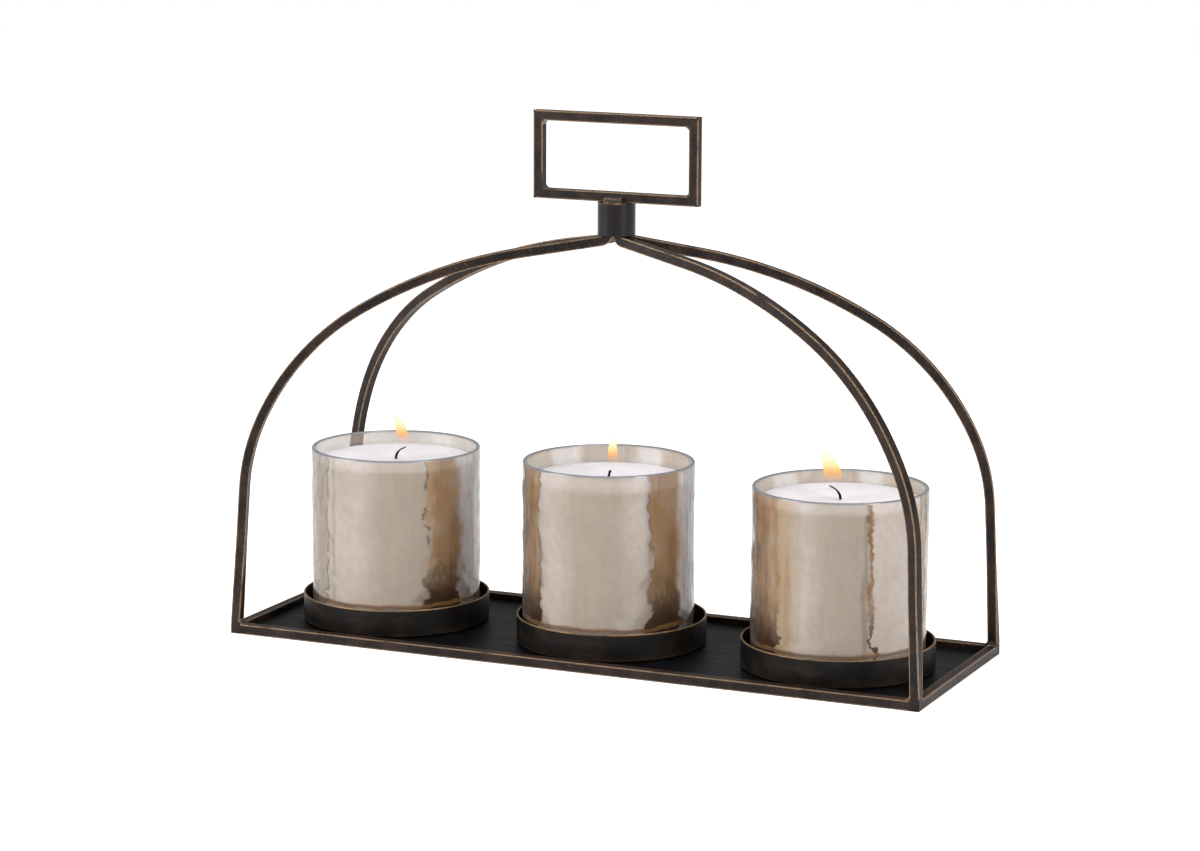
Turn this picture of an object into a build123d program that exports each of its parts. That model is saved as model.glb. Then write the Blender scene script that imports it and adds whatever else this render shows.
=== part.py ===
from build123d import *
import math
import os

# A welded tray of square bar carries three shallow pans. Four bent bars rise from its corners, turn up
# side by side inside a collar, and carry a rectangular handle. A glass tumbler stands loose in each pan,
# and a pillar candle stands loose in each tumbler.
# Millimetres, +Z up, +X along the tray, -Y the front. The origin is under the middle of the tray.

# Square bar, used for every rail, leg and handle bar
bar = 6.35
bar_edge = 0.4

# Tray
tray_length = 470.0
tray_width = 156.7
plate_thickness = 1.5
plate_lift = 0.5

# Legs: a twist and a straight stretch, two arcs through points given as shares of the arch, a third arc
# into a straight run, and a tight bend up into the collar. They are bent by hand, so each bows out of true
# at its shoulder, and at its crown by a reach and a rise.
twist_top = 60.0
straight_top = 95.9
lean_in = 5.8
shoulder_reach = 0.928
shoulder_rise = 0.534
crown_reach = 0.6575
crown_rise = 0.807
run_slope = 9.6
run_gap = 0.5
bend_radius = 5.0
weld_size = 3.2
weld_hollow = 0.36
shoulder_bow = {"front_left": 0.0, "front_right": 2.6, "back_right": 1.5, "back_left": -4.7}
crown_bow = {
    "front_left": (0.2, 0.2),
    "front_right": (0.0, 1.2),
    "back_right": (0.6, 0.0),
    "back_left": (-0.7, -1.7),
}

# Collar and handle, welded up a little to the right of the tray's middle
crown_x = 2.0
collar_bottom = 264.5
collar_height = 20.7
collar_wall = 1.55
collar_clearance = 0.4
collar_chamfer = 0.3
bundle_gap = 0.04
handle_width = 112.5
handle_height = 55.7
handle_weld_size = 2.5
seat_bead_width = 11.5
seat_bead_depth = 3.8
seat_bead_front = 2.6
seat_bead_back = 3.9

# Pans, spread along the tray: a gap between two of them is a share of the length that is left over
pan_gap_share = 0.355
pan_clearance = 4.7
pan_height = 18.35
pan_wall = 1.2
pan_radius = 2.5
pan_rim_radius = 0.45

# Glasses: the middle one is blown a little taller and stands a little off its pan's centre
glass_wall = 3.0
glass_base = 4.0
glass_foot_radius = 6.0
glass_inner_radius = 1.0
glass_rim_radius = 1.2
glass_headroom = {"left": 8.1, "middle": 11.2, "right": 8.1}
glass_shift = {"left": 0.0, "middle": -2.5, "right": 0.0}

# Candles and wicks
candle_diameter = 101.6
candle_height = 101.6
candle_clearance = 1.2
candle_edge = 2.0
candle_foot = 0.8
wick_diameter = 2.0
wick_clearance = 0.05
wick_start = 1.0
wick_upright = 2.0
wick_bend_radius = 3.0
wick_tip = 5.5
wick_lean = {"left": 52.0, "middle": 18.0, "right": -55.0}

# Places worked out from the sizes above
glass_bore = candle_diameter + 2 * candle_clearance
glass_diameter = glass_bore + 2 * glass_wall
pan_diameter = glass_diameter + 2 * (pan_clearance + pan_wall)
spare_length = tray_length - 2 * bar - 3 * pan_diameter
pan_pitch = pan_diameter + pan_gap_share * spare_length
foot_x = (tray_length - bar) / 2
foot_y = (tray_width - bar) / 2
stub_top = bar + weld_size
foot_angle = math.atan2(foot_y, foot_x)
bundle_offset = bar * (math.cos(foot_angle) + math.sin(foot_angle)) / 2 + bundle_gap / 2
bundle_reach = math.hypot(
    bundle_offset * math.sqrt(2) + bar / math.sqrt(2) * math.cos(foot_angle),
    bar / math.sqrt(2) * math.sin(foot_angle),
)
collar_bore_radius = bundle_reach + collar_clearance
collar_radius = collar_bore_radius + collar_wall
collar_top = collar_bottom + collar_height
bend_tangent = bend_radius * math.tan(math.radians((90 - run_slope) / 2))
run_height = collar_bottom - run_gap - bend_tangent + bend_radius - bar / 2
plate_top = plate_lift + plate_thickness
pan_floor = plate_top + pan_wall
candle_bottom = pan_floor + glass_base
candle_top = candle_bottom + candle_height
weld_length = bar - 2 * bar_edge
stations = {"left": -pan_pitch, "middle": 0.0, "right": pan_pitch}
corners = {"front_left": (-1, -1), "front_right": (1, -1), "back_right": (1, 1), "back_left": (-1, 1)}


def save(piece, name):
    """Labels a finished piece and writes it to its own file."""
    piece.part.label = name
    export_step(piece.part, f"parts/{name}.step")


def mitred_bar(length, outer):
    """Makes a bar whose outer face is centred on a plane's origin, runs along its x and faces its -y."""
    start = outer.origin + outer.y_dir * (bar / 2) - outer.x_dir * (length / 2)
    with BuildPart() as piece:
        with BuildSketch(Plane(origin=start, x_dir=outer.z_dir, z_dir=outer.x_dir)):
            RectangleRounded(bar, bar, bar_edge)
        extrude(amount=length)
        for end in (-1, 1):
            corner = outer.origin + outer.x_dir * (end * length / 2)
            mitre = Plane(origin=corner, z_dir=outer.x_dir * end + outer.y_dir)
            split(bisect_by=mitre, keep=Keep.BOTTOM)
    return piece


def bar_frame(base, width, height, names):
    """Makes four bars mitred into a rectangle round a plane's origin, the one at its -y first."""
    sizes = ((width, height), (height, width)) * 2
    for turn, (name, (length, depth)) in enumerate(zip(names, sizes)):
        side = Plane(base * Rotation(0, 0, 90 * turn))
        edge = side.origin - side.y_dir * (depth / 2)
        outer = Plane(origin=edge, x_dir=side.x_dir, z_dir=side.z_dir)
        save(mitred_bar(length, outer), name)


def weld_section(size):
    """Draws the hollow-faced triangle of a fillet weld, with its corner at the sketch's origin."""
    hollow = weld_hollow * size
    with BuildSketch() as section:
        with BuildLine():
            Polyline((0, size), (0, 0), (size, 0))
            ThreePointArc((size, 0), (hollow, hollow), (0, size))
        make_face()
    return section.sketch


def leg_upright_plane(side_x, side_y):
    """Gives the upright plane of a leg, x outwards and y up, and the reach from bundle to foot."""
    foot = Vector(side_x * foot_x, side_y * foot_y, 0)
    bundle = Vector(crown_x + side_x * bundle_offset, side_y * bundle_offset, 0)
    outward = (foot - bundle).normalized()
    upright = Plane(origin=bundle, x_dir=outward, z_dir=outward.cross(Vector(0, 0, 1)))
    return upright, (foot - bundle).length


def arc_into_run(start, climb):
    """Gives the end of the arc that leaves a point at a climb (rise over run) and meets the last run."""
    run_climb = math.tan(math.radians(run_slope))
    meet_out = (start[1] + climb * start[0] - run_height) / (climb - run_climb)
    meet_up = run_height - run_climb * meet_out
    length = math.hypot(start[0] - meet_out, meet_up - start[1])
    slope = math.radians(run_slope)
    return (meet_out - length * math.cos(slope), meet_up + length * math.sin(slope))


def make_leg(corner):
    """Bends one bar from a corner of the tray up into the collar."""
    side_x, side_y = corners[corner]
    upright, reach = leg_upright_plane(side_x, side_y)
    foot = (side_x * foot_x, side_y * foot_y)
    knee = (reach - lean_in + shoulder_bow[corner], straight_top)
    shoulder = (reach * shoulder_reach + shoulder_bow[corner], collar_bottom * shoulder_rise)
    bow_out, bow_up = crown_bow[corner]
    crown = (reach * crown_reach + bow_out, collar_bottom * crown_rise + bow_up)
    slope = math.radians(run_slope)
    bend_start = (bend_tangent * math.cos(slope), run_height - bend_tangent * math.sin(slope))
    twist = (twist_top - stub_top) / (straight_top - stub_top)
    twisted = (reach + (knee[0] - reach) * twist, twist_top)
    with BuildPart() as leg:
        with BuildLine(upright):
            straight = Line(twisted, knee)
            low_arc = TangentArc(straight @ 1, shoulder, tangent=straight % 1)
            middle_arc = TangentArc(low_arc @ 1, crown, tangent=low_arc % 1)
            heading = middle_arc % 1
            run_start = arc_into_run(crown, -heading.Z / heading.dot(upright.x_dir))
            high_arc = TangentArc(middle_arc @ 1, run_start, tangent=heading)
            run = Line(high_arc @ 1, bend_start)
            bend = TangentArc(run @ 1, (0, run_height + bend_tangent), tangent=run % 1)
            Line(bend @ 1, (0, collar_top))
        rising = straight % 0
        across = upright.z_dir * -side_x
        joint = Plane(origin=straight @ 0, x_dir=across.cross(rising), z_dir=rising)
        with BuildSketch(joint):
            RectangleRounded(bar, bar, bar_edge)
        sweep()
        with BuildSketch(Plane((*foot, stub_top))):
            RectangleRounded(bar, bar, bar_edge)
        with BuildSketch(joint):
            RectangleRounded(bar, bar, bar_edge)
        loft(ruled=True)
        with BuildSketch(Plane((*foot, bar))):
            RectangleRounded(bar, bar, bar_edge)
        extrude(amount=weld_size)
    return leg


def make_pan(x):
    """Makes a shallow pan with an upright wall, standing on the plate."""
    with BuildPart() as pan:
        with BuildSketch(Plane((x, 0, plate_top))):
            Circle(pan_diameter / 2)
        extrude(amount=pan_height)
        fillet(pan.edges().group_by(Axis.Z)[0], pan_radius)
        offset(amount=-pan_wall, openings=pan.faces().sort_by(Axis.Z)[-1])
        fillet(pan.edges().group_by(Axis.Z)[-1], pan_rim_radius)
    return pan


def make_glass(x, headroom):
    """Makes a straight tumbler with a rounded foot and a fire-polished rim, standing in its pan."""
    inside_height = candle_height + headroom
    with BuildPart() as glass:
        with BuildSketch(Plane((x, 0, pan_floor))):
            Circle(glass_diameter / 2)
        extrude(amount=glass_base + inside_height)
        fillet(glass.edges().group_by(Axis.Z)[0], glass_foot_radius)
        with BuildSketch(Plane((x, 0, candle_bottom))):
            Circle(glass_bore / 2)
        extrude(amount=inside_height, mode=Mode.SUBTRACT)
        inner_corner = glass.edges().filter_by_position(Axis.Z, candle_bottom - 0.1, candle_bottom + 0.1)
        fillet(inner_corner, glass_inner_radius)
        fillet(glass.edges().group_by(Axis.Z)[-1], glass_rim_radius)
    return glass


def make_candle(x):
    """Makes a pillar candle with eased edges and the channel that its wick stands in."""
    with BuildPart() as candle:
        with BuildSketch(Plane((x, 0, candle_bottom))):
            Circle(candle_diameter / 2)
        extrude(amount=candle_height)
        fillet(candle.edges().group_by(Axis.Z)[-1], candle_edge)
        chamfer(candle.edges().group_by(Axis.Z)[0], candle_foot)
        with BuildSketch(Plane((x, 0, candle_bottom + wick_start))):
            Circle(wick_diameter / 2 + wick_clearance)
        extrude(amount=candle_height, mode=Mode.SUBTRACT)
    return candle


def make_wick(x, lean):
    """Runs a wick up its candle and bends its burnt end over, to +X for a positive lean."""
    with BuildPart() as wick:
        with BuildLine(Plane((x, 0, 0), x_dir=(1, 0, 0), z_dir=(0, -1, 0))):
            buried = Line((0, candle_bottom + wick_start), (0, candle_top + wick_upright))
            curl = JernArc(buried @ 1, buried % 1, wick_bend_radius, -lean)
            Line(curl @ 1, curl @ 1 + (curl % 1) * wick_tip)
        with BuildSketch(Plane((x, 0, candle_bottom + wick_start))):
            Circle(wick_diameter / 2)
        sweep()
    return wick


os.makedirs("parts", exist_ok=True)

# Tray
bar_frame(
    Plane((0, 0, bar / 2)),
    tray_length,
    tray_width,
    ("front_rail", "right_rail", "back_rail", "left_rail"),
)

with BuildPart() as tray_plate:
    with BuildSketch(Plane.XY.offset(plate_lift)):
        Rectangle(tray_length - 2 * bar, tray_width - 2 * bar)
    extrude(amount=plate_thickness)
save(tray_plate, "tray_plate")

# Legs and the fillet welds at their feet
for corner_name in corners:
    save(make_leg(corner_name), f"{corner_name}_leg")

with BuildPart() as leg_welds:
    along_x = Plane(
        origin=(tray_length / 2 - bar, foot_y + weld_length / 2, bar), x_dir=(-1, 0, 0), z_dir=(0, 1, 0)
    )
    with BuildSketch(along_x):
        add(weld_section(weld_size))
    extrude(amount=-weld_length)
    along_y = Plane(
        origin=(foot_x - weld_length / 2, tray_width / 2 - bar, bar), x_dir=(0, -1, 0), z_dir=(-1, 0, 0)
    )
    with BuildSketch(along_y):
        add(weld_section(weld_size))
    extrude(amount=-weld_length)
    mirror(about=Plane.YZ)
    mirror(about=Plane.XZ)
save(leg_welds, "leg_welds")

# Collar round the four bar ends
with BuildPart() as collar:
    with BuildSketch(Plane((crown_x, 0, collar_bottom))):
        Circle(collar_radius)
        Circle(collar_bore_radius, mode=Mode.SUBTRACT)
    extrude(amount=collar_height)
    chamfer(collar.edges().filter_by(GeomType.CIRCLE).group_by(SortBy.RADIUS)[-1], collar_chamfer)
save(collar, "collar")

# Handle, its corner welds, and the beads that seat it on the collar
handle_centre = collar_top + handle_height / 2
handle_plane = Plane(origin=(crown_x, 0, handle_centre), x_dir=(1, 0, 0), z_dir=(0, -1, 0))
bar_frame(
    handle_plane,
    handle_width,
    handle_height,
    ("handle_bottom_bar", "handle_right_bar", "handle_top_bar", "handle_left_bar"),
)

with BuildPart() as handle_corner_welds:
    inner_corner = (handle_width / 2 - bar, handle_height / 2 - bar)
    for turn, (side, level) in enumerate(((-1, -1), (1, -1), (1, 1), (-1, 1))):
        corner_x = crown_x + side * inner_corner[0]
        corner_z = handle_centre + level * inner_corner[1]
        upright = Plane(origin=(corner_x, weld_length / 2, corner_z), x_dir=(1, 0, 0), z_dir=(0, -1, 0))
        with BuildSketch(Plane(upright * Rotation(0, 0, 90 * turn))):
            add(weld_section(handle_weld_size))
        extrude(amount=weld_length)
save(handle_corner_welds, "handle_corner_welds")

with BuildPart() as handle_seat_welds:
    bead_end = (crown_x - seat_bead_width / 2, 0, collar_top)
    with BuildSketch(Plane(origin=bead_end, x_dir=(0, -1, 0), z_dir=(-1, 0, 0))):
        Polygon(
            (bar / 2, 0),
            (bar / 2 + seat_bead_depth, 0),
            (bar / 2 + seat_bead_depth, seat_bead_front),
            (bar / 2, seat_bead_back),
            align=None,
        )
    extrude(amount=-seat_bead_width)
    mirror(about=Plane.XZ)
save(handle_seat_welds, "handle_seat_welds")

# Pans, glasses, candles and wicks
for station, station_x in stations.items():
    glass_x = station_x + glass_shift[station]
    save(make_pan(station_x), f"{station}_pan")
    save(make_glass(glass_x, glass_headroom[station]), f"{station}_glass")
    save(make_candle(glass_x), f"{station}_candle")
    save(make_wick(glass_x, wick_lean[station]), f"{station}_wick")
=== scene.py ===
import logging
import math
from dataclasses import dataclass
from enum import Enum

import bpy
from mathutils import Matrix, Vector


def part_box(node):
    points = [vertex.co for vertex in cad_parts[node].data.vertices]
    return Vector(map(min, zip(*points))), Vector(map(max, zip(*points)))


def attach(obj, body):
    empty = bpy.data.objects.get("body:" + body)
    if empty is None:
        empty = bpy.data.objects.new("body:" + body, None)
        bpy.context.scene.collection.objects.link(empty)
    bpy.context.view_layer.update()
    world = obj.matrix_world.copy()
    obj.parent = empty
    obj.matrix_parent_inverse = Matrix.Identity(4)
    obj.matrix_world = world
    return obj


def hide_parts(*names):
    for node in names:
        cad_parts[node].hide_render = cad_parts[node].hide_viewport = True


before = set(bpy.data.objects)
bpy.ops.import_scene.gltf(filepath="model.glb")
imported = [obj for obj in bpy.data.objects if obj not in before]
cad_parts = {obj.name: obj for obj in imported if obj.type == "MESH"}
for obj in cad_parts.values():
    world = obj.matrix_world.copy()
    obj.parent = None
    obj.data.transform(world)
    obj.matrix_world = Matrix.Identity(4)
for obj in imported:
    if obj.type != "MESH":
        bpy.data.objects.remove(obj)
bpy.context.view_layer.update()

MM = 0.001
HALF_TURN, FULL_TURN = 180.0, 360.0
LOG = logging.getLogger("candle_holder")

# How much the rounded normal at an edge turns from the true one where the rubbing starts and is full.
EDGE_TURN = (0.012, 0.1)
EDGE_SAMPLES = 6
SMOOTH = {"interpolation_type": "SMOOTHSTEP"}
COLOUR = {"data_type": "RGBA"}
# How far the melted wax lies below the candle's edge.
POOL_DEPTH = 0.9 * MM


class Station(Enum):
    """Where a tumbler and its candle stand on the tray."""

    LEFT = "left"
    MIDDLE = "middle"
    RIGHT = "right"


def linear(colour: str) -> tuple[float, float, float, float]:
    """Turns an sRGB hex colour into the linear one that a shader socket takes.

    Args:
        colour: The colour as #rrggbb.

    Returns:
        Red, green, blue and an alpha of 1.
    """
    channels = [int(colour[i:i + 2], 16) / 255 for i in (1, 3, 5)]
    red, green, blue = (
        c / 12.92 if c <= 0.04045 else ((c + 0.055) / 1.055) ** 2.4 for c in channels
    )
    return red, green, blue, 1.0


def feed(
    tree: bpy.types.NodeTree, node: bpy.types.Node, inputs: dict[str, object] | tuple[object, ...]
) -> None:
    """Links or sets a node's inputs.

    Args:
        tree: The node tree that the node is in.
        node: The node.
        inputs: Values, output sockets, or nodes for the first output that they have in use. They go by
            name, or in the order of the inputs that the node has in use.
    """
    if isinstance(inputs, dict):
        pairs = [(node.inputs[name], value) for name, value in inputs.items()]
    else:
        pairs = list(zip([socket for socket in node.inputs if socket.enabled], inputs))
    for socket, value in pairs:
        if isinstance(value, bpy.types.Node):
            value = next(output for output in value.outputs if output.enabled)
        if isinstance(value, bpy.types.NodeSocket):
            tree.links.new(value, socket)
        else:
            socket.default_value = value


def place(
    tree: bpy.types.NodeTree,
    kind: str,
    inputs: dict[str, object] | tuple[object, ...] = (),
    **settings: object,
) -> bpy.types.Node:
    """Adds a node with its settings and its inputs.

    Args:
        tree: The node tree that the node goes into.
        kind: The node's type, without the ShaderNode in front.
        inputs: What goes into it, as feed takes it.
        settings: Properties of the node itself.

    Returns:
        The new node.
    """
    node = tree.nodes.new(f"ShaderNode{kind}")
    for name, value in settings.items():
        setattr(node, name, value)
    feed(tree, node, inputs)
    return node


def blank_material(name: str) -> tuple[bpy.types.Material, bpy.types.NodeTree, bpy.types.Node]:
    """Makes a material that holds only a Principled shader and its output.

    Args:
        name: The material's name.

    Returns:
        The material, its node tree and the Principled node.
    """
    material = bpy.data.materials.new(name)
    material.use_nodes = True
    tree = material.node_tree
    tree.nodes.clear()
    shader = place(tree, "BsdfPrincipled")
    place(tree, "OutputMaterial", {"Surface": shader})
    return material, tree, shader


def noise(
    tree: bpy.types.NodeTree,
    size: float,
    stretch: tuple[float, float, float] = (1, 1, 1),
    detail: float = 2.0,
    offset: tuple[float, float, float] = (0, 0, 0),
) -> bpy.types.Node:
    """Gives a noise value whose blotches are a real size across, on the piece's own coordinates.

    Args:
        tree: The node tree.
        size: The size of a blotch, in metres.
        stretch: How many times longer a blotch is along each axis.
        detail: How much finer detail the noise carries.
        offset: Moves the pattern, in metres.

    Returns:
        The noise's node, whose value runs from 0 to 1.
    """
    coordinates = place(tree, "TexCoord").outputs["Object"]
    scale = tuple(1 / s for s in stretch)
    vector = place(tree, "Mapping", {"Vector": coordinates, "Location": offset, "Scale": scale})
    return place(tree, "TexNoise", {"Vector": vector, "Scale": 1 / size, "Detail": detail})


def edge_mask(tree: bpy.types.NodeTree, radius: float) -> bpy.types.Node:
    """Gives a value that rises from 0 on a flat face to 1 on a corner.

    Args:
        tree: The node tree.
        radius: How far from the corner it reaches, in metres.

    Returns:
        The mask's node.
    """
    rounded = place(tree, "Bevel", {"Radius": radius}, samples=EDGE_SAMPLES)
    true = place(tree, "NewGeometry").outputs["True Normal"]
    alike = place(tree, "VectorMath", (rounded, true), operation="DOT_PRODUCT")
    apart = place(tree, "Math", (1.0, alike), operation="SUBTRACT")
    return place(tree, "MapRange", (apart, *EDGE_TURN), **SMOOTH)


def height_of(tree: bpy.types.NodeTree) -> bpy.types.NodeSocket:
    """Gives the height above the surface that the object stands on, in metres."""
    coordinates = place(tree, "TexCoord").outputs["Object"]
    return place(tree, "SeparateXYZ", (coordinates,)).outputs["Z"]


@dataclass(frozen=True)
class Corners:
    """The mitred corners of a rectangle of bars, whose seams were dressed smooth before the finish.

    Its centre and half sizes are measured across the world's X and Y, or X and Z for an upright one.
    """

    centre: tuple[float, float]
    half: tuple[float, float]
    upright: bool
    seam: float = 1.1 * MM
    square: tuple[float, float] = (6.6 * MM, 7.4 * MM)

    @classmethod
    def around(cls, nodes: tuple[str, ...], upright: bool) -> "Corners":
        """Measures the rectangle that some CAD nodes make.

        Args:
            nodes: The nodes' names.
            upright: Whether the rectangle stands up.

        Returns:
            The rectangle's corners.
        """
        boxes = [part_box(node) for node in nodes]
        axis = 2 if upright else 1
        low = [min(box[0][i] for box in boxes) for i in (0, axis)]
        high = [max(box[1][i] for box in boxes) for i in (0, axis)]
        centre = ((low[0] + high[0]) / 2, (low[1] + high[1]) / 2)
        return cls(centre, ((high[0] - low[0]) / 2, (high[1] - low[1]) / 2), upright)

    def mask(self, tree: bpy.types.NodeTree) -> bpy.types.Node:
        """Gives 0 along the seams, and on a flat tray's corner squares, and 1 elsewhere.

        Args:
            tree: The node tree.

        Returns:
            The mask's node.
        """
        coordinates = place(tree, "TexCoord").outputs["Object"]
        axes = place(tree, "SeparateXYZ", (coordinates,))
        depths = []
        for axis, centre, half in zip(("X", "Z" if self.upright else "Y"), self.centre, self.half):
            side = place(tree, "Math", (axes.outputs[axis], centre), operation="SUBTRACT")
            off = place(tree, "Math", (side,), operation="ABSOLUTE")
            depths.append(place(tree, "Math", (half, off), operation="SUBTRACT"))
        if self.upright:
            apart = place(tree, "Math", tuple(depths), operation="SUBTRACT")
            apart = place(tree, "Math", (apart,), operation="ABSOLUTE")
            return place(tree, "MapRange", (apart, self.seam * 0.7, self.seam), **SMOOTH)
        deepest = place(tree, "Math", tuple(depths), operation="MAXIMUM")
        return place(tree, "MapRange", (deepest, *self.square), **SMOOTH)


@dataclass(frozen=True)
class BronzedIron:
    """Hand-rubbed bronze lacquer over forged iron bar.

    The eye sees a dark brown that is mottled and faintly grained, and corners rubbed through to a soft
    gold, in thin lines that fade here and there.
    """

    name: str = "bronzed_iron"
    dark: str = "#130d0b"
    warm: str = "#2b1e19"
    rubbed: str = "#d8b28c"
    mottle: float = 14 * MM
    # Real grain is finer; at 1.1 mm it just shows in the picture.
    grain: float = 1.1 * MM
    speckle: float = 0.1
    grain_depth: float = 0.05 * MM
    hammer_mark: float = 9 * MM
    hammer_depth: float = 0.5 * MM
    edge_radius: float = 1.5 * MM
    break_up: float = 18 * MM
    rub_from: float = 0.24
    rub_to: float = 0.44
    rub_weight: float = 1.0
    rubbed_metallic: float = 0.8
    roughness: float = 0.44
    uneven: float = 0.1
    sheen: float = 0.22
    corners: Corners | None = None
    plain_below: float = 0.0
    plain_fade: float = 2.5 * MM

    def rub(self, tree: bpy.types.NodeTree, grain: bpy.types.Node) -> bpy.types.Node:
        """Gives how far the lacquer is rubbed through, from 0 to 1.

        Args:
            tree: The node tree.
            grain: The iron's grain, which the rubbing catches on.

        Returns:
            The mask's node.
        """
        patches = noise(tree, self.break_up, detail=4.0)
        masks = [
            edge_mask(tree, self.edge_radius),
            place(tree, "MapRange", (patches, self.rub_from, self.rub_to), **SMOOTH),
            place(tree, "MapRange", (grain, 0.3, 0.6, 0.55, self.rub_weight), **SMOOTH),
        ]
        if self.corners:
            masks.append(self.corners.mask(tree))
        if self.plain_below:
            fade = (height_of(tree), self.plain_below, self.plain_below + self.plain_fade)
            masks.append(place(tree, "MapRange", fade, **SMOOTH))
        rub = masks[0]
        for mask in masks[1:]:
            rub = place(tree, "Math", (rub, mask), operation="MULTIPLY")
        return rub

    def build(self) -> bpy.types.Material:
        """Makes the material.

        Returns:
            The material.
        """
        material, tree, shader = blank_material(self.name)
        blotches = place(tree, "MapRange", (noise(tree, self.mottle, detail=4.0), 0.35, 0.68), **SMOOTH)
        body = place(tree, "Mix", (blotches, linear(self.dark), linear(self.warm)), **COLOUR)
        grain = noise(tree, self.grain, detail=3.0)
        specks = place(tree, "MapRange", (grain, 0.55, 0.8, 0.0, self.speckle), **SMOOTH)
        lighter = place(tree, "Mix", (specks, body, linear(self.rubbed)), **COLOUR)
        rub = self.rub(tree, grain)
        rough = (grain, 0.3, 0.7, self.roughness - self.uneven, self.roughness + self.uneven)
        feed(tree, shader, {
            "Base Color": place(tree, "Mix", (rub, lighter, linear(self.rubbed)), **COLOUR),
            "Metallic": place(tree, "MapRange", (rub, 0.0, 1.0, 0.0, self.rubbed_metallic), **SMOOTH),
            "Roughness": place(tree, "MapRange", rough, **SMOOTH),
            "Specular IOR Level": self.sheen,
        })
        if self.grain_depth:
            marks = noise(tree, self.hammer_mark, detail=1.0)
            soft = {"Strength": 0.35, "Distance": self.hammer_depth, "Height": marks}
            fine = {"Strength": 0.25, "Distance": self.grain_depth, "Height": grain}
            bump = place(tree, "Bump", {**fine, "Normal": place(tree, "Bump", soft)})
            feed(tree, shader, {"Normal": bump})
        return material


@dataclass(frozen=True)
class BlackedSheet:
    """Satin black lacquer on rolled sheet.

    The eye sees a near black with a cool sheen at a low angle, faint rolling streaks and a scuffed patch.
    """

    name: str = "blacked_sheet"
    dark: str = "#040506"
    dusty: str = "#0e1015"
    scuffed: str = "#2f2e2e"
    dust_patch: float = 30 * MM
    streak: float = 3.0 * MM
    streak_depth: float = 0.05 * MM
    grit: float = 1.2 * MM
    scuff_centre: tuple[float, float, float] = (0.097, -0.066, 0.002)
    scuff_size: tuple[float, float] = (26 * MM, 8 * MM)
    sheen: float = 0.12

    def build(self) -> bpy.types.Material:
        """Makes the material.

        Returns:
            The material.
        """
        material, tree, shader = blank_material(self.name)
        dust = place(tree, "MapRange", (noise(tree, self.dust_patch, detail=5.0), 0.35, 0.7), **SMOOTH)
        body = place(tree, "Mix", (dust, linear(self.dark), linear(self.dusty)), **COLOUR)
        coordinates = place(tree, "TexCoord").outputs["Object"]
        away = place(tree, "VectorMath", (coordinates, self.scuff_centre), operation="SUBTRACT")
        shrink = (1 / self.scuff_size[0], 1 / self.scuff_size[1], 0)
        scaled = place(tree, "VectorMath", (away, shrink), operation="MULTIPLY")
        reach = place(tree, "VectorMath", (scaled,), operation="LENGTH")
        patch = place(tree, "MapRange", (reach, 0.4, 1.0, 1.0, 0.0), **SMOOTH)
        grit = place(tree, "MapRange", (noise(tree, self.grit, detail=4.0), 0.48, 0.6), **SMOOTH)
        scuff = place(tree, "Math", (patch, grit), operation="MULTIPLY")
        streaks = noise(tree, self.streak, stretch=(14, 1, 1), detail=3.0)
        relief = {"Strength": 0.08, "Distance": self.streak_depth, "Height": streaks}
        feed(tree, shader, {
            "Base Color": place(tree, "Mix", (scuff, body, linear(self.scuffed)), **COLOUR),
            "Roughness": place(tree, "MapRange", (streaks, 0.3, 0.7, 0.4, 0.5), **SMOOTH),
            "Normal": place(tree, "Bump", relief),
            "Specular IOR Level": self.sheen,
        })
        return material


@dataclass(frozen=True)
class BronzedPan:
    """Spun sheet pan in dark bronze lacquer, its rim rubbed to a brown gold.

    The eye sees a brown black wall with soft smudges along it, a brown gold rim and a faint line low down.
    """

    rim_height: float
    name: str = "bronzed_pan"
    dark: str = "#110e0c"
    warm: str = "#291f18"
    rubbed: str = "#9a7b5a"
    smudge: float = 8 * MM
    grain: float = 0.9 * MM
    grain_depth: float = 0.08 * MM
    break_up: float = 9 * MM
    rim_depth: float = 0.9 * MM
    rim_full: float = 0.3 * MM
    foot_line: float = 16.6 * MM
    foot_width: tuple[float, float] = (0.1 * MM, 0.8 * MM)
    foot_weight: float = 0.1
    sheen: float = 0.2

    def build(self) -> bpy.types.Material:
        """Makes the material.

        Returns:
            The material.
        """
        material, tree, shader = blank_material(self.name)
        smudges = noise(tree, self.smudge, stretch=(2.5, 2.5, 1), detail=4.0)
        smudges = place(tree, "MapRange", (smudges, 0.42, 0.75), **SMOOTH)
        body = place(tree, "Mix", (smudges, linear(self.dark), linear(self.warm)), **COLOUR)
        up = height_of(tree)
        top = (up, self.rim_height - self.rim_depth, self.rim_height - self.rim_full)
        rim = place(tree, "MapRange", top, **SMOOTH)
        low = place(tree, "Math", (up, self.rim_height - self.foot_line), operation="SUBTRACT")
        low = place(tree, "Math", (low,), operation="ABSOLUTE")
        foot = place(tree, "MapRange", (low, *self.foot_width, self.foot_weight, 0.0), **SMOOTH)
        lines = place(tree, "Math", (rim, foot), operation="MAXIMUM")
        broken = (noise(tree, self.break_up, detail=4.0), 0.3, 0.6, 0.3, 1.0)
        broken = place(tree, "MapRange", broken, **SMOOTH)
        rub = place(tree, "Math", (lines, broken), operation="MULTIPLY")
        grain = noise(tree, self.grain, detail=3.0)
        relief = {"Strength": 0.2, "Distance": self.grain_depth, "Height": grain}
        feed(tree, shader, {
            "Base Color": place(tree, "Mix", (rub, body, linear(self.rubbed)), **COLOUR),
            "Metallic": place(tree, "MapRange", (rub, 0.0, 1.0, 0.0, 0.7), **SMOOTH),
            "Roughness": place(tree, "MapRange", (grain, 0.3, 0.7, 0.4, 0.52), **SMOOTH),
            "Normal": place(tree, "Bump", relief),
            "Specular IOR Level": self.sheen,
        })
        return material


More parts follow.
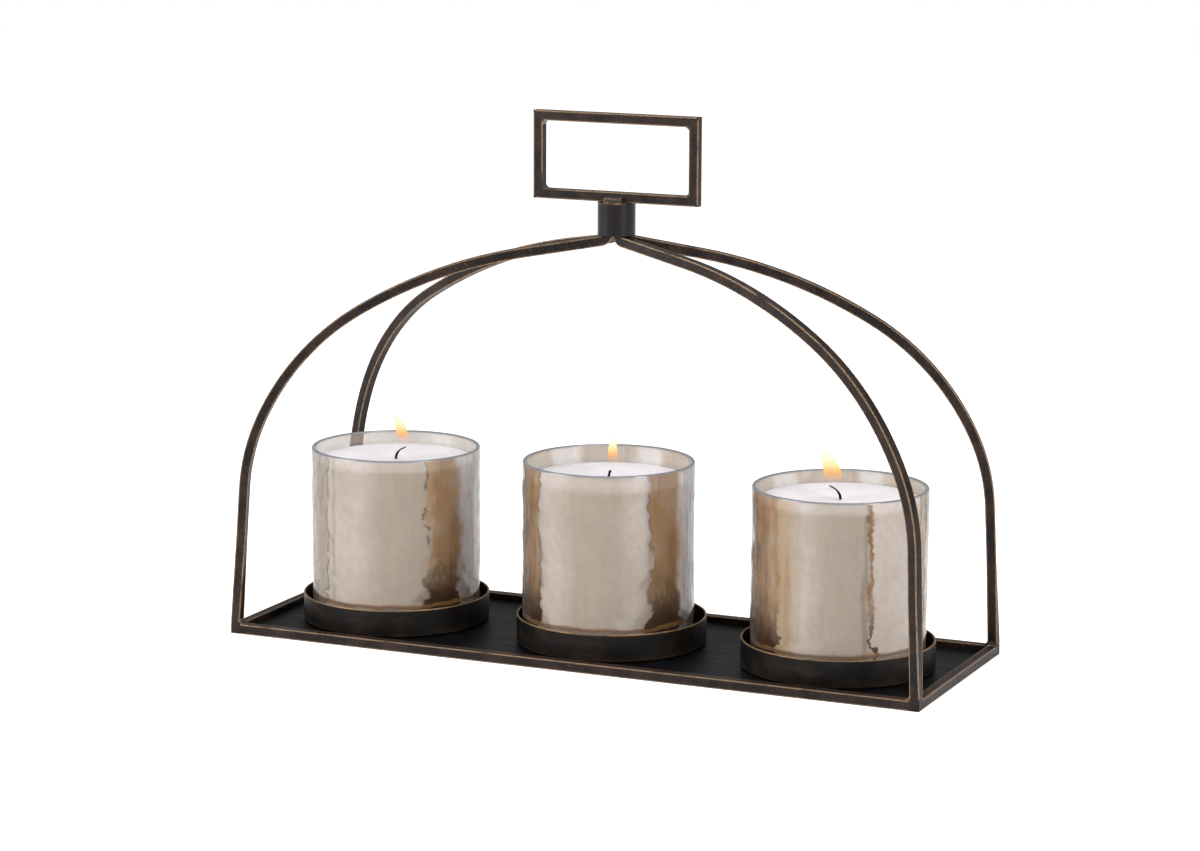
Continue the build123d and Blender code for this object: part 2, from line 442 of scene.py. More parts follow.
class Tone(Enum):
    """The tones of the glass's bands, which are the lustre's tint with painted reflections of the lamps and
    the surround in it, each with a weight from pale to dark.
    """

    LIGHT = ("#b9ada2", 0.0)
    PEARL = ("#a19483", 0.15)
    HONEY = ("#a8906f", 0.5)
    AMBER = ("#997957", 0.85)
    BROWN = ("#745233", 1.0)
    LAVENDER = ("#aea5a3", 0.1)


class Border(Enum):
    """How many degrees a border between two tones reaches to either side."""

    SOFT = 7.0
    MILD = 2.2
    FINE = 0.35
    JAGGED = 0.2


@dataclass(frozen=True)
class Band:
    """A tone that the glass has from an angle on, in degrees, and its border with the one before; each tone
    is part lustre tint and part painted reflection.
    """

    start: float
    tone: Tone
    border: Border = Border.SOFT

    def at(self, aside: float) -> float:
        """Gives the place of its border on a colour ramp, some degrees aside."""
        return (self.start + aside + HALF_TURN) / FULL_TURN


@dataclass(frozen=True)
class LustreGlass:
    """Hammered soda glass with a vaporised champagne lustre.

    The eye sees a half mirror in upright bands, pale and amber, with wandering borders, and a grey line
    where the wall's cut shows at the rim. The bands are painted reflections of the lamps and the surround
    over the lustre's uneven tint.
    """

    station: Station
    centre_x: float
    radius: float
    rim_height: float
    pan_rim: float
    bands: tuple[Band, ...]
    wander: float = 2.4
    jag: float = 1.7
    fine_jag: float = 0.5
    fleck_half: float = 1.2
    dark: str = "#38210f"
    line: str = "#4a2f17"
    cloudy: str = "#a69583"
    dimpled: str = "#8f8378"
    hemmed: str = "#8a6540"
    grazing: str = "#857c78"
    edge_line: str = "#4b484a"
    rim_line: str = "#7d8084"
    cloud: float = 24 * MM
    dimple: float = 5 * MM
    flake: float = 3.4 * MM
    flaked: tuple[float, float] = (4 * MM, 44 * MM)
    sagged: float = 26 * MM
    foot_height: float = 40 * MM
    ragged: float = 4 * MM
    hem_height: float = 0.6 * MM
    hem_ragged: float = 0.9 * MM
    hem_width: tuple[float, float] = (0.8 * MM, 1.8 * MM)
    rim_band: tuple[float, float] = (1.5 * MM, 0.6 * MM)
    outer_wall: tuple[float, float] = (2.1 * MM, 1.3 * MM)
    hammer_mark: float = 9 * MM
    hammer_depth: float = 1.0 * MM

    def turn(
        self, tree: bpy.types.NodeTree, axes: bpy.types.Node, fine: bpy.types.Node,
        shift: tuple[float, float, float],
    ) -> bpy.types.Node:
        """Gives the angle round the glass, strayed so that the borders wander and are jagged.

        Args:
            tree: The node tree.
            axes: The place on the glass, from its own axis.
            fine: The noise that the borders' jags follow.
            shift: Moves the patterns to the glass.

        Returns:
            The node, whose value runs from 0 to 1 and starts at -180 degrees.
        """
        slow = noise(tree, 45 * MM, stretch=(2, 2, 1), detail=1.0, offset=shift)
        nicks = noise(tree, 2.6 * MM, stretch=(1.2, 1.2, 1), detail=3.0, offset=shift)
        low = (axes.outputs["Z"], self.pan_rim, self.pan_rim + self.sagged, 2.6, 0.8)
        sag = place(tree, "MapRange", low, **SMOOTH)
        jagged = place(tree, "MapRange", (fine, 0.3, 0.7, -self.jag, self.jag), **SMOOTH)
        jagged = place(tree, "Math", (jagged, sag), operation="MULTIPLY")
        nicked = place(tree, "MapRange", (nicks, 0.35, 0.65, -self.fine_jag, self.fine_jag), **SMOOTH)
        jagged = place(tree, "Math", (jagged, nicked), operation="ADD")
        wandered = place(tree, "MapRange", (slow, 0.3, 0.7, -self.wander, self.wander), **SMOOTH)
        stray = place(tree, "Math", (wandered, jagged), operation="ADD")
        angle = place(tree, "Math", (axes.outputs["Y"], axes.outputs["X"]), operation="ARCTAN2")
        degrees = place(tree, "Math", (angle, FULL_TURN / math.tau), operation="MULTIPLY")
        degrees = place(tree, "Math", (degrees, stray), operation="ADD")
        degrees = place(tree, "Math", (degrees, HALF_TURN), operation="ADD")
        return place(tree, "Math", (degrees, FULL_TURN), operation="DIVIDE")

    def ramp(self, tree: bpy.types.NodeTree, turn: bpy.types.Node) -> bpy.types.Node:
        """Gives the glass's colour round it, the lustre's tint with painted reflections of the lamps and
        the surround, and as its alpha how dark each band is.

        Args:
            tree: The node tree.
            turn: The angle round the glass, from 0 to 1, starting at -180 degrees.

        Returns:
            The ramp's node.
        """
        node = place(tree, "ValToRGB", (turn,))
        elements = node.color_ramp.elements
        for end, element in enumerate(elements[:2]):
            element.position = float(end)
        for index, band in enumerate(self.bands):
            before = self.bands[index - 1]
            for side, tone in ((-1, before.tone), (1, band.tone)):
                colour, pool_and_dark_reflection = tone.value
                elements.new(band.at(side * band.border.value)).color = (*linear(colour)[:3], pool_and_dark_reflection)
        last_colour, last_pool_and_dark_reflection = self.bands[-1].tone.value
        for end in (0, len(elements) - 1):
            elements[end].color = (*linear(last_colour)[:3], last_pool_and_dark_reflection)
        return node

    def flecks(
        self, tree: bpy.types.NodeTree, turn: bpy.types.Node, shift: tuple[float, float, float]
    ) -> bpy.types.Node:
        """Gives a mask of the thin dark flecks that follow the jagged borders between painted reflections,
        here and there.

        Args:
            tree: The node tree.
            turn: The angle round the glass, from 0 to 1.
            shift: Moves the patterns to the glass.

        Returns:
            The mask's node.
        """
        node = place(tree, "ValToRGB", (turn,))
        elements = node.color_ramp.elements
        elements[0].color, elements[1].color = (0, 0, 0, 1), (0, 0, 0, 1)
        for band in self.bands:
            if band.border is Border.JAGGED:
                for aside, value in ((-self.fleck_half, 0.0), (0.0, 1.0), (self.fleck_half, 0.0)):
                    elements.new(band.at(aside)).color = (value, value, value, 1)
        gate = (noise(tree, 14 * MM, detail=2.0, offset=shift), 0.4, 0.48)
        gate = place(tree, "MapRange", gate, **SMOOTH)
        return place(tree, "Math", (node, gate), operation="MULTIPLY")

    def mottled(
        self, tree: bpy.types.NodeTree, lustre: bpy.types.Node, up: bpy.types.NodeSocket,
        shift: tuple[float, float, float],
    ) -> bpy.types.Node:
        """Gives the lustre its clouds, its upright streaks and the slivers that it has flaked off.

        Args:
            tree: The node tree.
            lustre: The colour by its bands, the lustre's tint with painted reflections, and as its alpha
                how dark each band is.
            up: The height above the table.
            shift: Moves the patterns to the glass.

        Returns:
            The colour's node.
        """
        pool_and_dark_reflection = lustre.outputs["Alpha"]
        cloud = (noise(tree, self.cloud, detail=5.0, offset=shift), 0.42, 0.7, 0.0, 0.5)
        cloud = place(tree, "MapRange", cloud, **SMOOTH)
        colour = place(tree, "Mix", (cloud, lustre, linear(self.cloudy)), **COLOUR)
        dimples = (noise(tree, self.dimple, detail=3.0, offset=shift), 0.42, 0.66, 0.0, 0.16)
        dimples = place(tree, "MapRange", dimples, **SMOOTH)
        colour = place(tree, "Mix", (dimples, colour, linear(self.dimpled)), **COLOUR)
        streaks = noise(tree, self.dimple, stretch=(1, 1, 9), detail=3.0, offset=shift)
        streaks = place(tree, "MapRange", (streaks, 0.45, 0.7), **SMOOTH)
        weight = place(tree, "Math", (pool_and_dark_reflection, 0.6), operation="MULTIPLY")
        streaked = place(tree, "Math", (streaks, weight), operation="MULTIPLY")
        colour = place(tree, "Mix", (streaked, colour, linear(Tone.BROWN.value[0])), **COLOUR)
        flakes = noise(tree, self.flake, stretch=(1, 1, 2.6), detail=2.0, offset=shift)
        flakes = place(tree, "MapRange", (flakes, 0.64, 0.66), **SMOOTH)
        near = (up, *(self.pan_rim + height for height in self.flaked), 1.0, 0.0)
        near = place(tree, "MapRange", near, **SMOOTH)
        near = place(tree, "Math", (pool_and_dark_reflection, near), operation="MULTIPLY")
        bare = place(tree, "Math", (flakes, near), operation="MULTIPLY")
        bare = place(tree, "Math", (bare, 0.85), operation="MULTIPLY")
        return place(tree, "Mix", (bare, colour, linear(Tone.LIGHT.value[0])), **COLOUR)

    def footed(
        self, tree: bpy.types.NodeTree, colour: bpy.types.Node, pool_and_dark_reflection: bpy.types.NodeSocket,
        up: bpy.types.NodeSocket, fine: bpy.types.Node,
    ) -> bpy.types.Node:
        """Darkens the darker bands towards the bottom, and draws the brown hem just above the pan.

        Args:
            tree: The node tree.
            colour: The lustre's colour so far.
            pool_and_dark_reflection: How dark the band is, from pooled lustre and a painted dark
                reflection.
            up: The height above the table.
            fine: The noise that makes both uneven.

        Returns:
            The colour's node.
        """
        uneven = place(tree, "MapRange", (fine, 0.25, 0.75, -self.ragged, self.ragged), **SMOOTH)
        height = place(tree, "Math", (up, uneven), operation="ADD")
        foot = (height, self.pan_rim, self.pan_rim + self.foot_height, 1.0, 0.0)
        low = place(tree, "MapRange", foot, **SMOOTH)
        deep = place(tree, "MapRange", (pool_and_dark_reflection, 0.4, 0.9), **SMOOTH)
        # Darker towards the bottom where the band is dark.
        pool = place(tree, "Math", (low, deep), operation="MULTIPLY")
        colour = place(tree, "Mix", (pool, colour, linear(self.dark)), **COLOUR)
        uneven = (fine, 0.25, 0.75, -self.hem_ragged, self.hem_ragged)
        uneven = place(tree, "MapRange", uneven, **SMOOTH)
        height = place(tree, "Math", (up, uneven), operation="ADD")
        off = place(tree, "Math", (height, self.pan_rim + self.hem_height), operation="SUBTRACT")
        off = place(tree, "Math", (off,), operation="ABSOLUTE")
        hem = place(tree, "MapRange", (off, *self.hem_width, 0.85, 0.0), **SMOOTH)
        return place(tree, "Mix", (hem, colour, linear(self.hemmed)), **COLOUR)

    def edged(
        self, tree: bpy.types.NodeTree, colour: bpy.types.Node, slant: bpy.types.NodeSocket,
        grazing: bpy.types.Node, shift: tuple[float, float, float],
    ) -> bpy.types.Node:
        """Greys the glass where it is seen at a low angle, with thin upright lines.

        Args:
            tree: The node tree.
            colour: The lustre's colour so far.
            slant: How far the surface turns from the eye.
            grazing: How far the low angle counts.
            shift: Moves the patterns to the glass.

        Returns:
            The colour's node.
        """
        greyed = place(tree, "MapRange", (slant, 0.5, 0.95, 0.0, 0.7), **SMOOTH)
        colour = place(tree, "Mix", (greyed, colour, linear(self.grazing)), **COLOUR)
        upright = noise(tree, 2.4 * MM, stretch=(1, 1, 8), detail=3.0, offset=shift)
        upright = place(tree, "MapRange", (upright, 0.52, 0.6), **SMOOTH)
        upright = place(tree, "Math", (upright, 0.95), operation="MULTIPLY")
        lines = place(tree, "Math", (grazing, upright), operation="MULTIPLY")
        outline = place(tree, "MapRange", (slant, 0.86, 0.97, 0.0, 0.8), **SMOOTH)
        edge = place(tree, "Math", (lines, outline), operation="MAXIMUM")
        return place(tree, "Mix", (edge, colour, linear(self.edge_line)), **COLOUR)

    def cover(
        self, tree: bpy.types.NodeTree, axes: bpy.types.Node, pool_and_dark_reflection: bpy.types.NodeSocket,
        grazing: bpy.types.Node, rim: bpy.types.Node,
    ) -> bpy.types.Node:
        """Gives how much the glass hides, which the lustre on its outer wall decides.

        Args:
            tree: The node tree.
            axes: The place on the glass, from its own axis.
            pool_and_dark_reflection: How far the lustre has pooled.
            grazing: How far the low angle counts.
            rim: A mask of the rim.

        Returns:
            The alpha's node.
        """
        across = place(tree, "CombineXYZ", (axes.outputs["X"], axes.outputs["Y"]))
        reach = place(tree, "VectorMath", (across,), operation="LENGTH")
        outer = (reach, *(self.radius - depth for depth in self.outer_wall), 0.1, 1.0)
        outside = place(tree, "MapRange", outer, **SMOOTH)
        lustred = place(tree, "MapRange", (pool_and_dark_reflection, 0.0, 1.0, 0.72, 0.9), **SMOOTH)
        grazed = place(tree, "Math", (grazing, 0.93), operation="MULTIPLY")
        lustred = place(tree, "Math", (lustred, grazed), operation="MAXIMUM")
        wall = place(tree, "Math", (lustred, outside), operation="MULTIPLY")
        rimmed = place(tree, "Math", (rim, 0.92), operation="MULTIPLY")
        return place(tree, "Math", (wall, rimmed), operation="MAXIMUM")

    def build(self) -> bpy.types.Material:
        """Makes the material.

        Returns:
            The material.
        """
        material, tree, shader = blank_material(f"lustre_glass_{self.station.value}")
        shift = (-self.centre_x, 0, 0)
        coordinates = place(tree, "TexCoord").outputs["Object"]
        centred = place(tree, "Mapping", {"Vector": coordinates, "Location": shift})
        axes = place(tree, "SeparateXYZ", (centred,))
        up = axes.outputs["Z"]
        fine = noise(tree, 8 * MM, stretch=(1.5, 1.5, 1), detail=2.5, offset=shift)
        turn = self.turn(tree, axes, fine, shift)
        # The ramp gives the lustre's tint with painted reflections of the lamps and the surround, by angle
        # round the glass.
        lustre = self.ramp(tree, turn)
        pool_and_dark_reflection = lustre.outputs["Alpha"]
        colour = self.mottled(tree, lustre, up, shift)
        colour = self.footed(tree, colour, pool_and_dark_reflection, up, fine)
        colour = place(tree, "Mix", (self.flecks(tree, turn, shift), colour, linear(self.line)), **COLOUR)
        slant = place(tree, "LayerWeight", {"Blend": 0.5}).outputs["Facing"]
        grazing = place(tree, "MapRange", (slant, 0.32, 0.9), **SMOOTH)
        colour = self.edged(tree, colour, slant, grazing, shift)
        band = (up, *(self.rim_height - depth for depth in self.rim_band))
        rim = place(tree, "MapRange", band, **SMOOTH)
        marks = noise(tree, self.hammer_mark, stretch=(1, 1, 1.5), detail=2.0, offset=shift)
        relief = {"Strength": 0.4, "Distance": self.hammer_depth, "Height": marks}
        feed(tree, shader, {
            "Base Color": place(tree, "Mix", (rim, colour, linear(self.rim_line)), **COLOUR),
            "Alpha": self.cover(tree, axes, pool_and_dark_reflection, grazing, rim),
            "Normal": place(tree, "Bump", relief),
            "Metallic": 0.25,
            "Specular IOR Level": 0.3,
            "Roughness": 0.13,
        })
        return material


@dataclass(frozen=True)
class PillarWax:
    """Cast paraffin wax.

    The eye sees a cool white that light enters a little way, and a fine unevenness from the mould.
    """

    name: str = "pillar_wax"
    white: str = "#dedadd"
    shade: str = "#d5d0d4"
    cloud: float = 18 * MM
    mould_mark: float = 2.5 * MM
    mould_depth: float = 0.15 * MM
    light_depth: float = 4 * MM

    def build(self) -> bpy.types.Material:
        """Makes the material.

        Returns:
            The material.
        """
        material, tree, shader = blank_material(self.name)
        cloud = place(tree, "MapRange", (noise(tree, self.cloud, detail=4.0), 0.35, 0.7), **SMOOTH)
        fine = noise(tree, self.mould_mark, detail=3.0)
        relief = {"Strength": 0.15, "Distance": self.mould_depth, "Height": fine}
        feed(tree, shader, {
            "Base Color": place(tree, "Mix", (cloud, linear(self.white), linear(self.shade)), **COLOUR),
            "Roughness": 0.42,
            "Subsurface Weight": 0.3,
            "Subsurface Radius": (1.0, 0.8, 0.7),
            "Subsurface Scale": self.light_depth,
            "Normal": place(tree, "Bump", relief),
        })
        return material


@dataclass(frozen=True)
class CharredCotton:
    """Braided cotton wick, waxed white in the candle and burnt black above it."""

    wax_top: float
    name: str = "charred_cotton"
    black: str = "#070606"
    ash: str = "#1a1716"
    cotton: str = "#cfc8bb"
    fleck: float = 0.8 * MM
    charring: float = 2 * MM

    def build(self) -> bpy.types.Material:
        """Makes the material.

        Returns:
            The material.
        """
        material, tree, shader = blank_material(self.name)
        ashes = place(tree, "MapRange", (noise(tree, self.fleck, detail=3.0), 0.45, 0.7), **SMOOTH)
        burnt = place(tree, "Mix", (ashes, linear(self.black), linear(self.ash)), **COLOUR)
        above = (height_of(tree), self.wax_top - self.charring, self.wax_top)
        above = place(tree, "MapRange", above, **SMOOTH)
        feed(tree, shader, {
            "Base Color": place(tree, "Mix", (above, linear(self.cotton), burnt), **COLOUR),
            "Roughness": 0.85,
            "Specular IOR Level": 0.15,
        })
        return material


@dataclass(frozen=True)
class FlameGlow:
    """A candle's flame: faint and orange at the foot, yellow in the body and near white at the tip."""

    station: Station
    foot: float
    tip: float
    strength: float = 1.15
    alpha: float = 0.85
    heats: tuple[tuple[float, str], ...] = ((0.3, "#f5b56c"), (0.5, "#ffdf9c"), (0.75, "#fff4d6"))

    def build(self) -> bpy.types.Material:
        """Makes the material.

        Returns:
            The material.
        """
        material, tree, shader = blank_material(f"flame_glow_{self.station.value}")
        rise = place(tree, "MapRange", (height_of(tree), self.foot, self.tip), **SMOOTH)
        glow = place(tree, "ValToRGB", (rise,))
        elements = glow.color_ramp.elements
        elements[0].color, elements[1].color = linear("#efb28c"), linear("#fdeed2")
        for share, colour in self.heats:
            elements.new(share).color = linear(colour)
        gathered = place(tree, "MapRange", (rise, 0.05, 0.4, 0.05, 1.0), **SMOOTH)
        thinned = place(tree, "MapRange", (rise, 0.75, 1.0, 1.0, 0.3), **SMOOTH)
        fade = place(tree, "Math", (gathered, thinned), operation="MULTIPLY")
        feed(tree, shader, {
            "Base Color": linear("#000000"),
            "Specular IOR Level": 0.0,
            "Roughness": 1.0,
            "Emission Color": glow,
            "Emission Strength": self.strength,
            "Alpha": place(tree, "Math", (fade, self.alpha), operation="MULTIPLY"),
        })
        return material


def deselect() -> None:
    """Deselects every object, because the loaded nodes come selected."""
    bpy.ops.object.select_all(action="DESELECT")


def turned(name: str, profile: list[tuple[float, float]], around: int) -> bpy.types.Object:
    """Turns a profile round the upright axis, as on a lathe.

    Args:
        name: The piece's name.
        profile: Radius and height of each point, in metres, from one end to the other.
        around: How many steps go round.

    Returns:
        The closed piece, centred on the world's upright axis.
    """
    deselect()
    bpy.ops.mesh.primitive_plane_add(size=MM)
    piece = bpy.context.object
    piece.name = piece.data.name = name
    bpy.ops.object.mode_set(mode="EDIT")
    bpy.ops.mesh.select_mode(type="VERT")
    bpy.ops.mesh.select_all(action="SELECT")
    bpy.ops.mesh.merge(type="CENTER")
    bpy.ops.transform.translate(value=(profile[0][0], 0, profile[0][1]))
    for before, after in zip(profile, profile[1:]):
        step = (after[0] - before[0], 0, after[1] - before[1])
        bpy.ops.mesh.extrude_region_move(TRANSFORM_OT_translate={"value": step})
    bpy.ops.mesh.select_all(action="SELECT")
    bpy.ops.mesh.spin(steps=around, angle=math.tau, center=(0, 0, 0), axis=(0, 0, 1))
    bpy.ops.mesh.select_all(action="SELECT")
    bpy.ops.mesh.remove_doubles(threshold=0.002 * MM)
    bpy.ops.mesh.normals_make_consistent(inside=False)
    bpy.ops.object.mode_set(mode="OBJECT")
    return piece


def grown(name: str, sections: list[tuple[Vector, float]], around: int) -> bpy.types.Object:
    """Extrudes a round section along a path of centres, with a radius at each.

    Args:
        name: The piece's name.
        sections: Centre and radius of each section, in metres, from the foot up.
        around: How many points go round a section.

    Returns:
        The closed piece.
    """
    deselect()
    centre, radius = sections[0]
    bpy.ops.mesh.primitive_circle_add(vertices=around, radius=radius, fill_type="NGON", location=centre)
    piece = bpy.context.object
    piece.name = piece.data.name = name
    bpy.ops.object.transform_apply(location=True)
    bpy.ops.object.mode_set(mode="EDIT")
    bpy.ops.mesh.select_mode(type="FACE")
    bpy.ops.mesh.select_all(action="SELECT")
    for (before, old), (after, new) in zip(sections, sections[1:]):
        step = after - before
        bpy.ops.mesh.extrude_region_move(TRANSFORM_OT_translate={"value": step})
        share = new / old
        bpy.ops.transform.resize(value=(share, share, share), center_override=after)
    bpy.ops.mesh.select_all(action="SELECT")
    bpy.ops.mesh.normals_make_consistent(inside=False)
    bpy.ops.object.mode_set(mode="OBJECT")
    return piece


def move_mesh(piece: bpy.types.Object, by: tuple[float, float, float]) -> None:
    """Moves a piece by its mesh, so that its object stays at the origin.

    Args:
        piece: The piece.
        by: How far along each axis, in metres.
    """
    deselect()
    piece.select_set(True)
    bpy.context.view_layer.objects.active = piece
    bpy.ops.object.mode_set(mode="EDIT")
    bpy.ops.mesh.select_all(action="SELECT")
    bpy.ops.transform.translate(value=by)
    bpy.ops.object.mode_set(mode="OBJECT")


def smooth(piece: bpy.types.Object, degrees: float = 35.0) -> None:
    """Shades a piece smooth, apart from its sharp edges.

    Args:
        piece: The piece.
        degrees: The angle from which an edge counts as sharp.
    """
    deselect()
    piece.select_set(True)
    bpy.context.view_layer.objects.active = piece
    bpy.ops.object.shade_smooth_by_angle(angle=math.radians(degrees))


def arc(
    centre: tuple[float, float], radius: float, start: float, end: float, steps: int
) -> list[tuple[float, float]]:
    """Gives points along an arc, with its angles in degrees."""
    angles = [math.radians(start + (end - start) * k / steps) for k in range(steps + 1)]
    return [(centre[0] + radius * math.cos(a), centre[1] + radius * math.sin(a)) for a in angles]


def dress(piece: bpy.types.Object, material: bpy.types.Material) -> None:
    """Gives a piece one material."""
    piece.data.materials.clear()
    piece.data.materials.append(material)


@dataclass
class IronFrame:
    """The welded tray, arches, collar and handle, which keep their CAD shapes."""

    rails: tuple[str, ...] = ("front_rail", "right_rail", "back_rail", "left_rail")
    legs: tuple[str, ...] = ("front_left_leg", "front_right_leg", "back_right_leg", "back_left_leg")
    handle: tuple[str, ...] = ("handle_bottom_bar", "handle_right_bar", "handle_top_bar", "handle_left_bar")
    welds: tuple[str, ...] = ("leg_welds", "handle_corner_welds", "handle_seat_welds")

    def dress(self) -> None:
        """Gives each node of the frame its finish."""
        rail_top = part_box("front_rail")[1][2]
        beads = {"rub_from": 0.46, "rub_to": 0.7, "edge_radius": 0.6 * MM, "roughness": 0.34, "sheen": 0.6}
        finishes = {
            self.rails: BronzedIron("bronzed_rail", corners=Corners.around(self.rails, False)),
            self.legs: BronzedIron("bronzed_leg", plain_below=rail_top + 0.3 * MM),
            self.handle: BronzedIron("bronzed_handle", corners=Corners.around(self.handle, True)),
            self.welds: BronzedIron("bronzed_weld", dark="#1a1410", warm="#3a2d23", **beads),
            ("collar",): BronzedIron(
                "bronzed_tube", dark="#100b0a", warm="#1a1311", rub_from=0.5, rub_to=0.75, rub_weight=0.6,
                roughness=0.2, uneven=0.01, sheen=0.3, speckle=0.0, grain_depth=0.0, edge_radius=0.8 * MM,
            ),
        }
        for nodes, finish in finishes.items():
            material = finish.build()
            for node in nodes:
                redress(node, material)
        redress("tray_plate", BlackedSheet().build())


def redress(node: str, material: bpy.types.Material) -> None:
    """Changes the materials of a CAD node and leaves its mesh alone.

    Args:
        node: The node's name.
        material: Its new material.
    """
    piece = bpy.data.objects[node]
    if not piece.material_slots:
        piece.data.materials.append(material)
    for slot in piece.material_slots:
        slot.material = material
    LOG.info("finished %s", node)


@dataclass
class Tumbler:
    """One hammered glass, with a wall that the hammering makes uneven."""

    station: Station
    bands: tuple[Band, ...]
    wall: float = 3.0 * MM
    base: float = 4.0 * MM
    foot_radius: float = 6.0 * MM
    rim_radius: float = 1.2 * MM
    dent: float = 1.1 * MM
    dent_size: float = 15 * MM
    dent_fade: float = 6 * MM
    smooth_rim: float = 0.5 * MM
    inner_corner: float = 2 * MM
    around: int = 192
    rows: int = 64

    def profile(self, radius: float, height: float) -> list[tuple[float, float]]:
        """Gives the section of the glass, from the middle of its foot up, over the rim and back inside.

        Args:
            radius: The glass's outer radius, in metres.
            height: Its height, in metres.

        Returns:
            Radius and height of each point.
        """
        foot, inner = self.foot_radius, radius - self.wall
        points = [(0.0, 0.0), (radius - foot, 0.0)]
        points += arc((radius - foot, foot), foot, -82, 0, 8)
        top = height - self.rim_radius
        points += [(radius, foot + (top - foot) * k / self.rows) for k in range(1, self.rows + 1)]
        points += arc((radius - self.rim_radius, top), self.rim_radius, 20, 160, 7)
        corner = self.inner_corner
        drop = top - self.base - corner
        points += [(inner, top - drop * k / self.rows) for k in range(self.rows + 1)]
        points += arc((inner - corner, self.base + corner), corner, -20, -90, 4)
        points.append((0.0, self.base))
        return points

    def hammer(self, piece: bpy.types.Object, low: float, high: float) -> None:
        """Dents the walls between two heights, a different way on each glass.

        Args:
            piece: The glass.
            low: Where the dents start, in metres.
            high: Where they end.
        """
        group = piece.vertex_groups.new(name="walls")
        for vertex in piece.data.vertices:
            near = min(vertex.co.z - low, high - vertex.co.z) / self.dent_fade
            group.add([vertex.index], max(0.0, min(1.0, near)), "REPLACE")
        dents = bpy.data.textures.new(f"dents_{self.station.value}", "CLOUDS")
        dents.noise_scale = self.dent_size
        dents.noise_depth = 1
        modifier = piece.modifiers.new("hammering", "DISPLACE")
        modifier.texture = dents
        modifier.texture_coords = "LOCAL"
        modifier.strength = self.dent
        modifier.mid_level = 0.5
        modifier.vertex_group = "walls"
        bpy.context.view_layer.objects.active = piece
        bpy.ops.object.modifier_apply(modifier=modifier.name)

    def build(self) -> None:
        """Makes the glass where its CAD node stands, and replaces that node."""
        node = f"{self.station.value}_glass"
        low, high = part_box(node)
        radius, height = (high[0] - low[0]) / 2, high[2] - low[2]
        centre_x = (high[0] + low[0]) / 2
        piece = turned(f"{self.station.value}_tumbler", self.profile(radius, height), self.around)
        move_mesh(piece, (centre_x, 0, low[2]))
        pan_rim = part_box(f"{self.station.value}_pan")[1][2]
        self.hammer(piece, low[2] + self.foot_radius, high[2] - self.smooth_rim)
        smooth(piece)
        glass = LustreGlass(self.station, centre_x, radius, high[2], pan_rim, self.bands)
        dress(piece, glass.build())
        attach(piece, f"{self.station.value}_glass")
        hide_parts(node)
        LOG.info("made %s", piece.name)


@dataclass
class Pillar:
    """One pillar candle with a shallow melt pool round its wick."""

    station: Station
    edge: float = 2.0 * MM
    foot: float = 0.8 * MM
    pool_radius: float = 24 * MM
    channel: float = 1.02 * MM
    channel_depth: float = 5 * MM
    around: int = 160
    wall_rows: int = 30
    top_rows: int = 12

    def profile(self, radius: float, height: float) -> list[tuple[float, float]]:
        """Gives the candle's section, from the middle of its foot up to the wick's channel.

        Args:
            radius: The candle's radius, in metres.
            height: Its height, in metres.

        Returns:
            Radius and height of each point.
        """
        points = [(0.0, 0.0), (radius - self.foot, 0.0), (radius, self.foot)]
        wall, rows = height - self.edge - self.foot, self.wall_rows
        points += [(radius, self.foot + wall * k / rows) for k in range(1, rows + 1)]
        points += arc((radius - self.edge, height - self.edge), self.edge, 10, 90, 6)
        reach = radius - self.edge
        for step in range(1, self.top_rows + 1):
            points.append((reach + (self.pool_radius - reach) * step / self.top_rows, height))
        for step in range(1, self.top_rows + 1):
            share = step / self.top_rows
            dip = POOL_DEPTH * (1 - math.cos(math.pi * share)) / 2
            points.append((self.pool_radius + (self.channel - self.pool_radius) * share, height - dip))
        bottom = height - self.channel_depth
        points += [(self.channel, bottom), (0.0, bottom)]
        return points

    def build(self, wax: bpy.types.Material) -> None:
        """Makes the candle where its CAD node stands, and replaces that node.

        Args:
            wax: The material that all the candles share.
        """
        node = f"{self.station.value}_candle"
        low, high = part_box(node)
        radius, height = (high[0] - low[0]) / 2, high[2] - low[2]
        piece = turned(f"{self.station.value}_pillar", self.profile(radius, height), self.around)
        move_mesh(piece, ((high[0] + low[0]) / 2, 0, low[2]))
        smooth(piece)
        dress(piece, wax)
        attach(piece, node)
        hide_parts(node)
        LOG.info("made %s", piece.name)


@dataclass
class Wick:
    """One wick, upright in its candle and curled over where it has burnt."""

    station: Station
    lean: float
    burnt: float
    upright: float = 0.5 * MM
    radius: float = 0.85 * MM
    around: int = 14
    buried_rows: int = 8
    burnt_rows: int = 16

    def build(self) -> None:
        """Makes the wick where its CAD node stands, and replaces that node."""
        node = f"{self.station.value}_wick"
        low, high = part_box(node)
        candle_low, candle_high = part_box(f"{self.station.value}_candle")
        x, top = (candle_high[0] + candle_low[0]) / 2, candle_high[2] - POOL_DEPTH
        sections = [(Vector((x, 0, low[2])), self.radius)]
        for row in range(1, self.buried_rows + 1):
            height = low[2] + (top - low[2]) * row / self.buried_rows
            sections.append((Vector((x, 0, height)), self.radius))
        point, steps = Vector((x, 0, top + self.upright)), self.burnt_rows
        sections.append((point.copy(), self.radius))
        for step in range(1, steps + 1):
            share = step / steps
            turn = math.radians(self.lean) * min(1.0, share * 1.4)
            point = point + Vector((math.sin(turn), 0, math.cos(turn))) * (self.burnt / steps)
            swell = 1.0 + 0.25 * math.sin(share * 9) * share - 0.45 * max(0.0, share - 0.8) / 0.2
            sections.append((point.copy(), self.radius * swell))
        piece = grown(f"{self.station.value}_braid", sections, self.around)
        smooth(piece, 60)
        dress(piece, CharredCotton(candle_high[2]).build())
        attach(piece, f"{self.station.value}_candle")
        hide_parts(node)
        LOG.info("made %s", piece.name)


